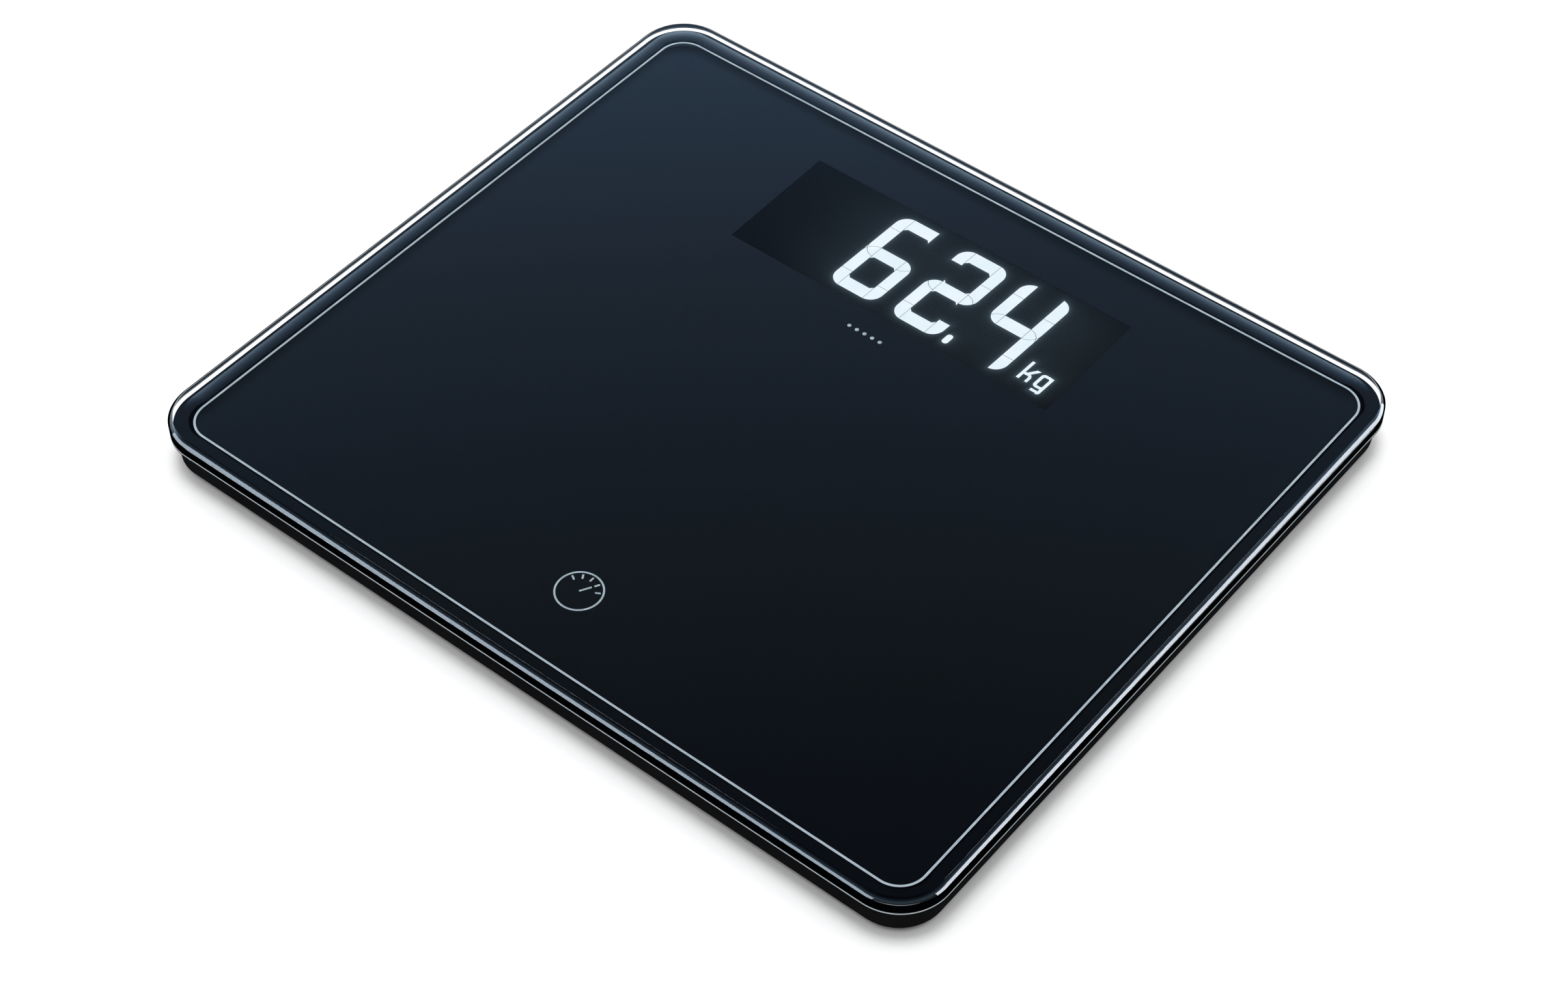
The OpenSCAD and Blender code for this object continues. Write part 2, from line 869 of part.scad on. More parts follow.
// Frame that holds the panel and its light
module display_frame() {
    height = lcd_top - frame_floor_z;
    ledge = 2.4;
    color("white") translate([0, window_y, frame_floor_z]) difference() {
        union() {
            slab(frame_w, frame_d, height, 1.5);
            at_corners(ear_x, ear_y) cylinder(r = ear_r, h = 2);
            for (side = [-1, 1]) {
                translate([side * (ear_x - 1.5) - 1.5, -ear_y - ear_r, 0]) {
                    cube([3, 2 * (ear_y + ear_r), 1]);
                }
            }
        }
        translate([-lcd_w / 2 - 0.2, -lcd_d / 2 - 0.2, lcd_bottom - frame_floor_z]) {
            cube([lcd_w + 0.4, lcd_d + 0.4, lcd_t + 1]);
        }
        translate([-lcd_w / 2 + 0.8, -guide_d / 2 - 0.2, frame_floor_t]) {
            cube([guide_w / 2 + lcd_w / 2 - 0.6, guide_d + 0.4, height]);
        }
        at_corners(ear_x, ear_y) {
            translate([0, 0, -1]) cylinder(r = screw_hole_r, h = 4);
            translate([0, 0, 2]) cylinder(r = ear_r, h = height);
        }
        translate([-ribbon_w / 2 - 1, -frame_d / 2 - 1, lcd_bottom - frame_floor_z - 1.6]) {
            cube([ribbon_w + 2, ledge + 1.5, 2.8]);
        }
    }
}

module display_screws() {
    color(steel_colour) translate([0, window_y, frame_floor_z + 2]) {
        at_corners(ear_x, ear_y) pan_screw(2.1, 1.5, 3.4);
    }
}

// Flat ribbon from the panel's contact ledge down to the board
module display_ribbon() {
    ribbon_t = 0.3;
    panel_y = window_y - lcd_d / 2 + 1;
    turn_y = window_y - frame_d / 2 - 1.6;
    high = lcd_bottom + lcd_t / 2;
    color("orange") rotate([90, 0, 90]) linear_extrude(height = ribbon_w, center = true) {
        polygon([
            [panel_y, high], [turn_y, high], [turn_y - 2, board_top + ribbon_t],
            [turn_y - 6, board_top + ribbon_t], [turn_y - 6, board_top],
            [turn_y - 1.8, board_top], [turn_y + 0.2, high - ribbon_t], [panel_y, high - ribbon_t]
        ]);
    }
}

// ---------- electronics ----------

module circuit_board() {
    color(board_colour) difference() {
        translate([-board_w / 2, board_y - board_d / 2, board_z]) cube([board_w, board_d, board_t]);
        translate([0, board_y, board_z - 1]) {
            at_corners(board_screw_x, board_screw_y) cylinder(r = screw_hole_r, h = board_t + 2);
        }
    }
}

// Domed blob of resin over the processor
module controller_chip() {
    dome_r = 19.5;
    color("black") translate([-8, board_y - 2, board_top]) {
        rotate_extrude() intersection() {
            square([7, 1.3]);
            translate([0, 1.3 - dome_r]) circle(dome_r, $fn = 360);
        }
    }
}

module amplifier_chip() {
    color("black") translate([12, board_y - 6, board_top + 0.2]) cube([6, 4, 1.3]);
    color(steel_colour) translate([12, board_y - 6, board_top]) {
        for (i = [0:3], side = [-1, 1]) {
            translate([0.8 + i * 1.27, side > 0 ? 4 : -0.9, 0]) cube([0.4, 0.9, 0.5]);
            translate([0.8 + i * 1.27, side > 0 ? 3.4 : 0, 0]) cube([0.4, 0.6, 0.25]);
        }
    }
}

module capacitors() {
    color("tan") translate([0, 0, board_top]) {
        for (i = [0:4]) {
            translate([-26 + i * 2.6, board_y + 4, 0]) cube([1.2, 2, 0.8]);
        }
        for (i = [0:3]) {
            translate([10 + i * 4.4, board_y + 3, 0]) cube([3.2, 1.6, 1.2]);
        }
    }
}

// Sockets under the board's ends that take the cells' wires
module wire_sockets() {
    color("ivory") for (side = [-1, 1], y = socket_y) {
        translate([side * (board_w / 2 - socket_w / 2), board_y + y,
            board_z - socket_h / 2]) {
            difference() {
                cube([socket_w, socket_d, socket_h], center = true);
                translate([side * 2.5, 0, 0]) cube([socket_w, socket_d - 1, 1.2], center = true);
            }
        }
    }
}

module board_screws() {
    color(steel_colour) translate([0, board_y, board_top]) {
        at_corners(board_screw_x, board_screw_y) pan_screw(2.1, 1.5, 5);
    }
}

module unit_switch() {
    color("black") translate([button_x, button_y, switch_z]) difference() {
        translate([-switch_w / 2, -switch_w / 2, 0]) cube([switch_w, switch_w, switch_h]);
        translate([0, 0, -1]) {
            cylinder(r = plunger_r + running_gap, h = 1 + button_travel + 0.8);
        }
    }
}

module switch_plunger() {
    color("white") translate([button_x, button_y, switch_z - plunger_out]) {
        cylinder(r = plunger_r, h = plunger_out + 0.7);
    }
}

// Push button that changes the unit, with a flange inside the base
module unit_button() {
    flange_z = z_floor + 0.1;
    top = switch_z - plunger_out;
    color("gray") translate([button_x, button_y, 0]) {
        difference() {
            translate([0, 0, z_base + button_recess]) cylinder(r = button_r, h = flange_z - z_base);
            translate([0, 0, z_base - 10]) sphere(r = 10.6);
        }
        translate([0, 0, flange_z]) cylinder(r = flange_r, h = top - flange_z);
    }
}

// Bundle of three wires along one route
module wire_bundle(route) {
    for (i = [-1:1]) {
        wire([for (k = [0:len(route) - 1]) route[k] + side_step(route, k) * i * wire_pitch],
            wire_r, wire_z);
    }
}

// From a foot's pocket, along the side of the board's bay, to its socket
module sensor_wires(sx, sy) {
    socket = [sx * (board_w / 2 - 0.4), board_y + socket_y[sy > 0 ? 0 : 1]];
    side_x = sx * wire_side_x;
    bend = 4;
    turn = sy > 0 ? -1 : 1;
    color("firebrick") wire_bundle([
        [sx * (foot_x - foot_r + 3), sy * foot_y],
        [side_x + sx * bend, sy * foot_y],
        [side_x, sy * foot_y + turn * bend],
        [side_x, socket[1] - turn * bend],
        [side_x - sx * bend, socket[1]],
        socket
    ]);
}

// ---------- batteries ----------

module coin_cells() {
    can_r = coin_d / 2;
    lid_r = can_r - 1.2;
    color(steel_colour) for (side = [-1, 1]) {
        translate([side * coin_x, bay_y, coin_z]) {
            cylinder(r = can_r, h = coin_t - 0.3);
            cylinder(r = lid_r, h = coin_t);
        }
    }
}

// Bent strip that joins the two cells: it runs under the bay's ceiling and dips at both
// ends to rest on them
module battery_bridge() {
    bend_x = coin_x;
    dip_x = coin_x + 5;
    end_x = coin_x + 7;
    low = coin_top;
    high = bay_ceiling;
    color("goldenrod") translate([0, bay_y + 2.5, 0]) rotate([90, 0, 0]) {
        linear_extrude(height = 5) polygon([
            [-end_x, low], [-dip_x, low], [-bend_x, high - strip_t],
            [bend_x, high - strip_t], [dip_x, low], [end_x, low],
            [end_x, low + strip_t], [dip_x, low + strip_t], [bend_x, high],
            [-bend_x, high], [-dip_x, low + strip_t], [-end_x, low + strip_t]
        ]);
    }
}

// Side contacts against the rims of the two cells
module battery_terminals() {
    contact_x = coin_x + coin_d / 2 + 1;
    color("goldenrod") for (side = [-1, 1]) {
        translate([side * contact_x, bay_y - 3, coin_z + 0.4]) {
            translate([-strip_t / 2, 0, 0]) cube([strip_t, 6, coin_t]);
            translate([side > 0 ? -0.9 : 0, 2, 0.6]) cube([0.9, 2, 0.8]);
        }
    }
}

// Pair of wires from the bay to the board
module battery_wires() {
    color("firebrick") for (side = [-1, 1]) {
        wire([
            [side * bay_wire_x, bay_y + 5], [side * bay_wire_x, board_y - board_d / 2 - 3],
            [side * 4.2, board_y - board_d / 2], [side * 4.2, board_y - board_d / 2 + 4]
        ], wire_r, wire_z);
    }
}

// Cover that swings down about two trunnions at its rear edge
module battery_cover() {
    slit_x = 7;
    slit_d = 9;
    free_y = cover_pivot_y - cover_d;
    color(plastic_colour) difference() {
        union() {
            translate([-cover_w / 2, free_y, z_base]) cube([cover_w, cover_d, cover_t]);
            translate([0, cover_pivot_y, cover_pivot_z]) {
                bar_x(cover_pivot_r, cover_w);
                bar_x(trunnion_r, cover_w + 2 * trunnion_len);
            }
        }
        for (side = [-1, 1]) {
            translate([side * slit_x - 0.5, free_y - 1, z_base - 1]) {
                cube([1, slit_d + 1, cover_t + 2]);
            }
        }
        for (i = [0:2]) {
            translate([-4.5, free_y + 2 + 1.6 * i, z_base - cut]) cube([9, 0.7, 0.4]);
        }
        translate([0, free_y + 16, z_base - cut]) linear_extrude(height = 0.4) {
            polygon([[-3, 2.6], [3, 2.6], [0, -2.6]]);
        }
    }
}

// ---------- feet ----------

// Round cup that holds a load cell above and a rubber pad below
module foot_cup(sx, sy) {
    color(plastic_colour) translate([sx * foot_x, sy * foot_y, 0]) difference() {
        union() {
            translate([0, 0, cup_base_z]) cylinder(r = foot_r, h = cup_top_z - cup_base_z);
            translate([0, 0, cup_lip_z]) cylinder(r = foot_r + 1.6, h = cup_top_z - cup_lip_z);
        }
        translate([0, 0, cup_base_z - 1]) cylinder(r = pad_r + 0.05, h = 2);
        translate([0, 0, cup_floor_z]) cylinder(r = 12.5, h = base_h);
        translate([0, 0, cell_z]) linear_extrude(height = base_h) {
            round_rect(cell_w + 0.4, cell_w + 0.4, 3.2);
        }
    }
}

// Grooved rubber disc that stands on the floor
module rubber_pad(sx, sy) {
    groove = 0.5;
    color(rubber_colour) translate([sx * foot_x, sy * foot_y, 0]) rotate_extrude() {
        difference() {
            low_eased_edge(pad_r, cup_base_z + 1, 0.5);
            for (r = [6:4:14]) {
                translate([r, -1]) square([1, 1 + groove]);
            }
        }
    }
}

// Sprung steel plate: an outer frame with a tongue that the base presses on
module load_cell(sx, sy) {
    slot = 2;
    tongue_w = 12;
    slot_y = 8;
    color(steel_colour) translate([sx * foot_x, sy * foot_y, cell_z]) difference() {
        linear_extrude(height = cell_t) difference() {
            round_rect(cell_w, cell_w, 3);
            for (side = [-1, 1]) {
                translate([side * (tongue_w / 2 + slot / 2) - slot / 2, -slot_y]) {
                    square([slot, 2 * slot_y + slot]);
                }
            }
            translate([-tongue_w / 2 - slot, slot_y]) square([tongue_w + 2 * slot, slot]);
        }
        at_corners(cell_w / 2 - 3.4, cell_w / 2 - 3.4) {
            translate([0, 0, -1]) cylinder(r = 1.2, h = cell_t + 2);
        }
    }
}

// Soft white coat over the strain gauge at the tongue's root
module strain_gauge(sx, sy) {
    color("white") translate([sx * foot_x, sy * foot_y - 9.5, cell_z + cell_t]) {
        slab(9, 6, gauge_t, 1.5);
    }
}

glass_platform();
back_print();
border_line();
front_motif();
adhesive_ring();
base_tray();
support_pads();
rating_label();
display_gasket();
lcd_panel();
lcd_segments();
diffuser_film();
light_guide();
reflector_sheet();
led_strip();
leds();
display_frame();
display_screws();
display_ribbon();
circuit_board();
controller_chip();
amplifier_chip();
capacitors();
wire_sockets();
board_screws();
unit_switch();
switch_plunger();
unit_button();
coin_cells();
battery_bridge();
battery_terminals();
battery_wires();
battery_cover();
foot_cup(-1, -1);  // foot_cup_front_left
foot_cup(1, -1);  // foot_cup_front_right
foot_cup(-1, 1);  // foot_cup_rear_left
foot_cup(1, 1);  // foot_cup_rear_right
rubber_pad(-1, -1);  // rubber_pad_front_left
rubber_pad(1, -1);  // rubber_pad_front_right
rubber_pad(-1, 1);  // rubber_pad_rear_left
rubber_pad(1, 1);  // rubber_pad_rear_right
load_cell(-1, -1);  // load_cell_front_left
load_cell(1, -1);  // load_cell_front_right
load_cell(-1, 1);  // load_cell_rear_left
load_cell(1, 1);  // load_cell_rear_right
strain_gauge(-1, -1);  // strain_gauge_front_left
strain_gauge(1, -1);  // strain_gauge_front_right
strain_gauge(-1, 1);  // strain_gauge_rear_left
strain_gauge(1, 1);  // strain_gauge_rear_right
sensor_wires(-1, -1);  // sensor_wires_front_left
sensor_wires(1, -1);  // sensor_wires_front_right
sensor_wires(-1, 1);  // sensor_wires_rear_left
sensor_wires(1, 1);  // sensor_wires_rear_right
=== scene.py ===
"""Looks of the digital bathroom scale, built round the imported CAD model. Metres, Z up."""
import json
import math

import bpy
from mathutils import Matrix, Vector, kdtree


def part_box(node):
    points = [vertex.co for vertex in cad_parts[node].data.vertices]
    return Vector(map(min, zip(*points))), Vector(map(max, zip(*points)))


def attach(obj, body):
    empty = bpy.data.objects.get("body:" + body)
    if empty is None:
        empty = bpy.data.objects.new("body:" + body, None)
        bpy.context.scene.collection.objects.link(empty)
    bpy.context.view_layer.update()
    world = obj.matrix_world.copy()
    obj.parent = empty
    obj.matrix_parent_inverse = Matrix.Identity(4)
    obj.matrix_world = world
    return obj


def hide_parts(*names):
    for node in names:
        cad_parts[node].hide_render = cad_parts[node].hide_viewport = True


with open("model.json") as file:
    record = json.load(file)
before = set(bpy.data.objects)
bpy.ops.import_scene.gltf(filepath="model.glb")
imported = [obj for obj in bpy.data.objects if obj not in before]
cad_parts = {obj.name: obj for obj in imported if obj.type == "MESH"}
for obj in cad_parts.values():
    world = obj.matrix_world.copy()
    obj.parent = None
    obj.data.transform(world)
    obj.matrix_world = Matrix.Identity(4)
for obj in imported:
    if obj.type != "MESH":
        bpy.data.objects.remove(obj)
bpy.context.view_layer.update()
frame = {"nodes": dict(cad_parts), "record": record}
NODES = frame["nodes"]
SCENE = bpy.context.scene
MM = 0.001

# Levels and outlines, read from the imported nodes
GLASS_LOW, GLASS_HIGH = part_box("glass_platform")
PRINT_LOW, PRINT_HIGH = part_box("back_print")
LINE_LOW, LINE_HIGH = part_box("border_line")
PANEL_LOW, PANEL_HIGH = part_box("lcd_panel")
LIT_LOW, LIT_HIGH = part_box("lcd_segments")
HALF_W = GLASS_HIGH.x
HALF_D = GLASS_HIGH.y
CORNER_R = 20 * MM


# ---------- meshes ----------

def piece(name, verts, faces, material, slot=None, body="platform", stands_for=(), smooth=False):
    """A new mesh object from points and faces, riding on a CAD body."""
    mesh = bpy.data.meshes.new(name)
    mesh.from_pydata([tuple(v) for v in verts], [], faces)
    mesh.validate()
    mesh.polygons.foreach_set("use_smooth", [smooth] * len(mesh.polygons))
    obj = bpy.data.objects.new(name, mesh)
    SCENE.collection.objects.link(obj)
    for m in material if isinstance(material, (list, tuple)) else [material]:
        obj.data.materials.append(m)
    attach(obj, body)
    if stands_for:
        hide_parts(*stands_for)
    return obj


REAR_LEFT = (-0.627, 0.779)  # level direction towards the platform's rear left corner
FULL_LEAN = 0.6  # sides that face REAR_LEFT by this much or more get the whole lean


def rear_left(out):
    """How far a level direction points towards the rear left corner, from -1 to 1."""
    return out[0] * REAR_LEFT[0] + out[1] * REAR_LEFT[1]


def rounded_loop(half_w, half_d, r, inset, steps, slide=0):
    """Points and outward directions round a rectangle with round corners, drawn in by inset, and
    slid by up to slide towards the front right."""
    points = []
    for quarter in range(4):
        sx = (1, -1, -1, 1)[quarter]
        sy = (1, 1, -1, -1)[quarter]
        for k in range(steps + 1):
            a = math.pi / 2 * (quarter + k / steps)
            out = (math.cos(a), math.sin(a))
            reach = max(r - inset - slide * rear_left(out), 0)
            points.append((
                sx * (half_w - r) + out[0] * reach,
                sy * (half_d - r) + out[1] * reach,
                out,
            ))
    return points


def swept_plate(name, runs, half_w, half_d, r, steps, materials, caps=(0, 0), **kw):
    """Closed plate with round corners. runs holds (material index, [(inset, z, tilt), ...]) from
    the underside outward and up to the top, where tilt is the normal's angle above level. A point
    with a fourth value slides by it, and leans only on the sides that face the rear left."""
    verts, faces, normals, index = [], [], [], []
    rings = {}

    def ring(inset, z, slide=0):
        key = (round(inset, 7), round(z, 7), round(slide, 7))
        if key not in rings:
            rings[key] = len(verts)
            loop = rounded_loop(half_w, half_d, r, inset, steps, slide)
            verts.extend((x, y, z) for x, y, _ in loop)
        return rings[key]

    outs = [o for _, _, o in rounded_loop(half_w, half_d, r, 0, steps)]
    count = len(outs)

    def normal(k, point):
        tilt = point[2]
        if len(point) > 3:
            share = min(max(rear_left(outs[k]) / FULL_LEAN, 0), 1)
            tilt = math.pi / 2 - (math.pi / 2 - tilt) * share
        c = math.cos(tilt)
        return (outs[k][0] * c, outs[k][1] * c, math.sin(tilt))

    def ring_of(point):
        return ring(point[0], point[1], *point[3:])

    for material, points in runs:
        for a, b in zip(points, points[1:]):
            low, high = ring_of(a), ring_of(b)
            for k in range(count):
                n = (k + 1) % count
                faces.append((low + k, low + n, high + n, high + k))
                normals.extend([normal(k, a), normal(n, a), normal(n, b), normal(k, b)])
                index.append(material)
    bottom, top = ring_of(runs[0][1][0]), ring_of(runs[-1][1][-1])
    faces.append(tuple(bottom + k for k in reversed(range(count))))
    normals.extend([(0, 0, -1)] * count)
    faces.append(tuple(top + k for k in range(count)))
    normals.extend([(0, 0, 1)] * count)
    index.extend(caps)
    obj = piece(name, verts, faces, materials, smooth=True, **kw)
    obj.data.polygons.foreach_set("material_index", index)
    obj.data.normals_split_custom_set(normals)
    return obj


def arc(inset, z, radius, start, end, steps):
    """Edge profile points on an arc about (inset, z), with tilts from start to end in degrees."""
    points = []
    for k in range(steps + 1):
        t = math.radians(start + (end - start) * k / steps)
        points.append((inset - radius * math.cos(t), z + radius * math.sin(t), t))
    return points


# ---------- materials ----------

class Nodes:
    """Short way to write a material's nodes."""

    def __init__(self, tree):
        self.tree = tree

    def add(self, kind, inputs=None, **props):
        node = self.tree.nodes.new(kind)
        for name, value in props.items():
            setattr(node, name, value)
        for name, value in (inputs or {}).items():
            if isinstance(value, bpy.types.NodeSocket):
                self.tree.links.new(value, node.inputs[name])
            else:
                node.inputs[name].default_value = value
        return node

    def position(self):
        return self.add("ShaderNodeTexCoord").outputs["Object"]

    def noise(self, scale, detail=2, roughness=0.5, vector=None):
        vector = vector or self.position()
        return self.add("ShaderNodeTexNoise", {
            "Vector": vector, "Scale": scale, "Detail": detail,
            "Roughness": roughness}).outputs["Fac"]

    def ramp(self, fac, stops):
        node = self.add("ShaderNodeValToRGB", {"Fac": fac})
        elements = node.color_ramp.elements
        while len(elements) < len(stops):
            elements.new(0.5)
        for element, (place, colour) in zip(elements, stops):
            element.position = place
            element.color = (*colour, 1)
        return node.outputs["Color"]

    def span(self, value, low, high, to_low, to_high):
        return self.add("ShaderNodeMapRange", {
            "Value": value, "From Min": low, "From Max": high,
            "To Min": to_low, "To Max": to_high}).outputs["Result"]

    def bump(self, height, distance, strength=1.0):
        return self.add("ShaderNodeBump", {
            "Height": height, "Distance": distance, "Strength": strength}).outputs["Normal"]


def new_material(name):
    """An empty node material and its node writer, with the Principled shader joined up."""
    material = bpy.data.materials.new(name)
    material.use_nodes = True
    tree = material.node_tree
    tree.nodes.clear()
    nodes = Nodes(tree)
    shader = nodes.add("ShaderNodeBsdfPrincipled")
    out = nodes.add("ShaderNodeOutputMaterial")
    tree.links.new(shader.outputs["BSDF"], out.inputs["Surface"])
    return material, nodes, shader


def put(nodes, shader, **values):
    """Sets or links the shader's inputs; underscores in names stand for spaces."""
    for name, value in values.items():
        socket = shader.inputs[name.replace("_", " ")]
        if isinstance(value, bpy.types.NodeSocket):
            nodes.tree.links.new(value, socket)
        else:
            socket.default_value = value


GLASS_TINT = (0.985, 0.993, 1, 1)
GLASS_INDEX = 1.5
BEVEL_INDEX = 2.1  # the bevel reflects more than plain glass, so that its bright bands stay clean


def polished_glass(name, index):
    """Clear glass with ordinary gloss for its refractive index."""
    material, nodes, shader = new_material(name)
    put(nodes, shader, Base_Color=GLASS_TINT, Roughness=0.0, IOR=index, Transmission_Weight=1.0)
    return material


def clear_face():
    """The flat faces: their gloss comes from the ink behind them, so they add next to none."""
    material, nodes, shader = new_material("clear_face")
    put(nodes, shader, Base_Color=GLASS_TINT, Roughness=0.0, IOR=GLASS_INDEX,
        Transmission_Weight=1.0, Specular_Tint=(0, 0, 0, 1))
    return material


def ground_glass():
    """Fine grey band round the side where the edge was ground; its pale grey is a painted highlight
    for the bright line along the glass's lower edge.
    """
    material, nodes, shader = new_material("ground_glass")
    grain = nodes.noise(2500, 3, 0.6)
    colour = nodes.ramp(grain, [(0.3, (0.30, 0.33, 0.36)), (0.7, (0.55, 0.60, 0.65))])
    put(nodes, shader, Base_Color=colour, Roughness=0.45, IOR=1.5,
        Normal=nodes.bump(grain, 0.00002, 0.5))
    return material


def back_ink():
    """Blue-black print in contact with the glass: smooth, with a very faint mottle."""
    material, nodes, shader = new_material("back_ink")
    grain = nodes.noise(1800, 3, 0.6)
    colour = nodes.ramp(grain, [(0.3, (0.0004, 0.0007, 0.0012)), (0.75, (0.0009, 0.0015, 0.0026))])
    put(nodes, shader, Base_Color=colour, Roughness=0.015, IOR=1.56)
    return material


def matt_ink(name, dark, light, roughness=0.6, gloss=0.1):
    """Print whose surface scatters and has little or no gloss."""
    material, nodes, shader = new_material(name)
    grain = nodes.noise(1500, 3)
    colour = nodes.ramp(grain, [(0.3, dark), (0.7, light)])
    put(nodes, shader, Base_Color=colour, Roughness=roughness, IOR=1.5, Specular_IOR_Level=gloss)
    return material


def display_glass():
    """Matt black panel with the backlight's glow leaking round the lit segments."""
    material, nodes, shader = new_material("display_glass")
    grain = nodes.noise(900, 2)
    colour = nodes.ramp(grain, [(0.3, (0.0006, 0.0007, 0.0008)), (0.7, (0.0011, 0.0012, 0.0013))])
    glow = nodes.add("ShaderNodeAttribute", attribute_name="glow").outputs["Fac"]
    put(nodes, shader, Base_Color=colour, Roughness=0.5, IOR=1.5, Specular_IOR_Level=0.0,
        Emission_Color=(0.54, 0.80, 1.0, 1), Emission_Strength=glow)
    return material


def lit_segment():
    """Evenly lit liquid crystal segment, with a trace of the light guide's unevenness."""
    material, nodes, shader = new_material("lit_segments")
    even = nodes.noise(60, 1)
    colour = nodes.ramp(even, [(0.3, (0.75, 0.85, 0.91)), (0.7, (0.81, 0.89, 0.935))])
    put(nodes, shader, Base_Color=(0.05, 0.05, 0.05, 1), Roughness=0.5,
        Emission_Color=colour, Emission_Strength=1.0)
    return material


def moulded_plastic(name, dark, light, roughness=0.5, grain=1400, depth=0.00002, gloss=0.3):
    """Spark-textured moulded plastic with a little mottling and handling marks."""
    material, nodes, shader = new_material(name)
    fine = nodes.noise(grain, 3, 0.65)
    colour = nodes.ramp(nodes.noise(35, 3), [(0.35, dark), (0.65, light)])
    rough = nodes.span(nodes.noise(90, 4), 0.3, 0.7, roughness - 0.05, roughness + 0.08)
    put(nodes, shader, Base_Color=colour, Roughness=rough, IOR=1.5, Specular_IOR_Level=gloss,
        Normal=nodes.bump(fine, depth, 0.6))
    return material


def rubber():
    """Matt rubber with a coarse grain and worn patches."""
    material, nodes, shader = new_material("foot_rubber")
    grain = nodes.noise(700, 5, 0.7)
    colour = nodes.ramp(nodes.noise(120, 4), [
        (0.3, (0.020, 0.020, 0.021)), (0.7, (0.045, 0.045, 0.046))])
    rough = nodes.span(grain, 0.3, 0.7, 0.72, 0.9)
    put(nodes, shader, Base_Color=colour, Roughness=rough, Specular_IOR_Level=0.35,
        Normal=nodes.bump(grain, 0.00004, 0.7))
    return material


def foam():
    """Closed-cell foam: small round cells with thin walls."""
    material, nodes, shader = new_material("foam")
    cells = nodes.add("ShaderNodeTexVoronoi", {
        "Vector": nodes.position(), "Scale": 1600}).outputs["Distance"]
    colour = nodes.ramp(cells, [(0.1, (0.012, 0.012, 0.013)), (0.6, (0.05, 0.05, 0.055))])
    put(nodes, shader, Base_Color=colour, Roughness=0.9, Specular_IOR_Level=0.2,
        Normal=nodes.bump(cells, 0.00008, 0.8))
    return material


def metal(name, dark, light, roughness, stretch=(60, 1400, 60)):
    """Plated or drawn metal with fine lines along one direction."""
    material, nodes, shader = new_material(name)
    along = nodes.add("ShaderNodeVectorMath", {0: nodes.position(), 1: stretch},
        operation="MULTIPLY").outputs["Vector"]
    lines = nodes.noise(1, 4, 0.6, vector=along)
    colour = nodes.ramp(lines, [(0.3, dark), (0.7, light)])
    rough = nodes.span(nodes.noise(70, 4), 0.3, 0.7, roughness - 0.06, roughness + 0.1)
    put(nodes, shader, Base_Color=colour, Metallic=1.0, Roughness=rough,
        Normal=nodes.bump(lines, 0.000008, 0.5))
    return material


def label_film():
    """Blank silver film, a little wavy."""
    material, nodes, shader = new_material("label")
    grain = nodes.noise(1900, 2)
    colour = nodes.ramp(grain, [(0.3, (0.34, 0.345, 0.35)), (0.7, (0.44, 0.445, 0.45))])
    put(nodes, shader, Base_Color=colour, Metallic=0.5, Roughness=0.42,
        Normal=nodes.bump(nodes.noise(150, 2), 0.00002, 0.4))
    return material


def light_guide_plastic():
    """Clear acrylic with the dots that let its light out."""
    material, nodes, shader = new_material("clear_plastic")
    dots = nodes.add("ShaderNodeTexVoronoi", {
        "Vector": nodes.position(), "Scale": 700}).outputs["Distance"]
    rough = nodes.span(dots, 0.1, 0.5, 0.35, 0.08)
    put(nodes, shader, Base_Color=(0.86, 0.92, 0.95, 1), Roughness=rough, IOR=1.49,
        Transmission_Weight=0.9)
    return material


def lamp_resin():
    """Yellow lamp resin, faintly lit."""
    material, nodes, shader = new_material("lamp")
    grain = nodes.noise(900, 2)
    colour = nodes.ramp(grain, [(0.3, (0.80, 0.70, 0.32)), (0.7, (0.90, 0.82, 0.48))])
    put(nodes, shader, Base_Color=colour, Roughness=0.35,
        Emission_Color=(0.9, 0.95, 1, 1), Emission_Strength=0.3)
    return material


def banded(name, dark, light, scale, roughness, direction="X"):
    """Film or board with straight conductors running across it."""
    material, nodes, shader = new_material(name)
    bands = nodes.add("ShaderNodeTexWave", {
        "Vector": nodes.position(), "Scale": scale, "Distortion": 0.4, "Detail": 1.0},
        bands_direction=direction).outputs["Fac"]
    colour = nodes.ramp(bands, [(0.45, dark), (0.6, light)])
    put(nodes, shader, Base_Color=colour, Roughness=roughness,
        Normal=nodes.bump(bands, 0.00002, 0.5))
    return material


